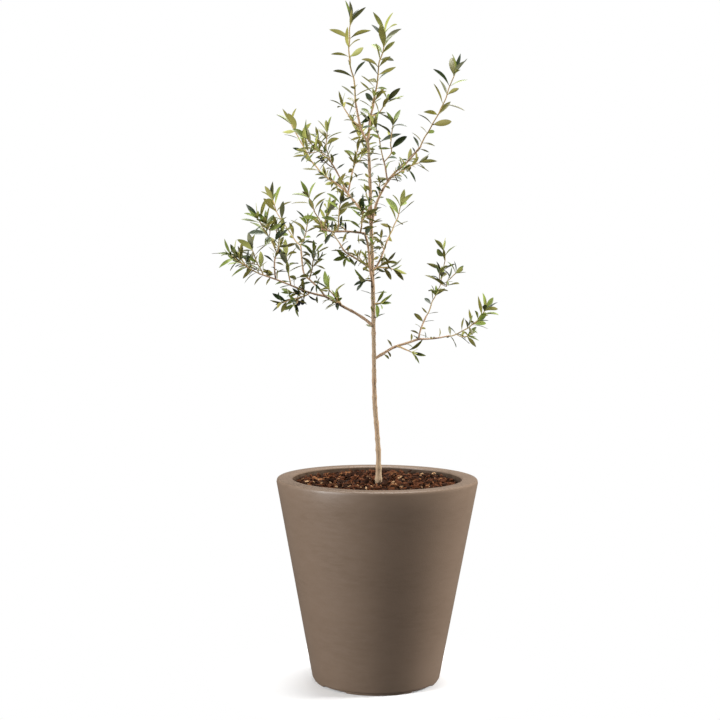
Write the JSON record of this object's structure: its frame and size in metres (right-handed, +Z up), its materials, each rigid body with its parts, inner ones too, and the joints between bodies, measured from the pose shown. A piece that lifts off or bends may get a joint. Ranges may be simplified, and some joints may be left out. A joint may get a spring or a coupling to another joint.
{
  "type": "potted olive tree",
  "caption": "Young open-crowned olive tree with slim trunk and narrow grey-green leaves, growing through bark mulch in a tapered round planter.",
  "frame": {"origin": "middle of the planter's flat underside", "axes": "+Z up along the planter's axis, -Y towards the front, +X to the right"},
  "size_m": [0.5436, 0.406, 1.3533],
  "materials": {
    "planter_resin": "satin taupe resin with a faint brushed mottle",
    "bark_mulch": "rough dark red-brown bark chips",
    "trunk_bark": "fine grey-tan bark with small knots",
    "young_bark": "smooth greyish tan young shoots",
    "olive_leaves": "leathery olive green above, silvery grey-green below"
  },
  "bodies": {
    "root": {"bough_left_level": "young_bark", "bough_low_left": "young_bark", "bough_low_right": "young_bark", "bough_middle_left": "young_bark", "bough_middle_right": "young_bark", "bough_upper_left": "young_bark", "bough_upper_right": "young_bark", "branch_low_left_reach": "young_bark", "branch_low_left_rise": "young_bark", "branch_low_left_turn": "young_bark", "branch_low_right_reach": "young_bark", "branch_low_right_rise": "young_bark", "branch_upper_left_inner": "young_bark", "branch_upper_left_rear": "young_bark", "branch_upper_right_inner": "young_bark", "branch_upper_right_rear": "young_bark", "leader_left": "young_bark", "leader_right": "young_bark", "leaves_left_level_inner": "olive_leaves", "leaves_left_level_middle": "olive_leaves", "leaves_left_level_outer": "olive_leaves", "leaves_left_level_tip": "olive_leaves", "leaves_low_left_end": "olive_leaves", "leaves_low_left_front": "olive_leaves", "leaves_low_left_fruiting": "olive_leaves", "leaves_low_left_lift": "olive_leaves", "leaves_low_left_middle": "olive_leaves", "leaves_low_left_outer": "olive_leaves", "leaves_low_left_rear": "olive_leaves", "leaves_low_left_tip": "olive_leaves", "leaves_low_left_top": "olive_leaves", "leaves_low_left_turn": "olive_leaves", "leaves_low_right_drooping": "olive_leaves", "leaves_low_right_reach": "olive_leaves", "leaves_low_right_rise": "olive_leaves", "leaves_low_right_side": "olive_leaves", "leaves_low_right_top": "olive_leaves", "leaves_middle_left": "olive_leaves", "leaves_middle_left_low": "olive_leaves", "leaves_middle_right": "olive_leaves", "leaves_middle_right_low": "olive_leaves", "leaves_top_left": "olive_leaves", "leaves_top_left_side": "olive_leaves", "leaves_top_right": "olive_leaves", "leaves_top_right_side": "olive_leaves", "leaves_trunk_left": "olive_leaves", "leaves_trunk_right": "olive_leaves", "leaves_upper_left": "olive_leaves", "leaves_upper_left_inner": "olive_leaves", "leaves_upper_left_low": "olive_leaves", "leaves_upper_left_middle": "olive_leaves", "leaves_upper_left_rear": "olive_leaves", "leaves_upper_right": "olive_leaves", "leaves_upper_right_fan": "olive_leaves", "leaves_upper_right_inner": "olive_leaves", "leaves_upper_right_rear": "olive_leaves", "mulch": "bark_mulch", "pot": "planter_resin", "stem_left": "young_bark", "trunk": "trunk_bark"}
  },
  "joints": []
}
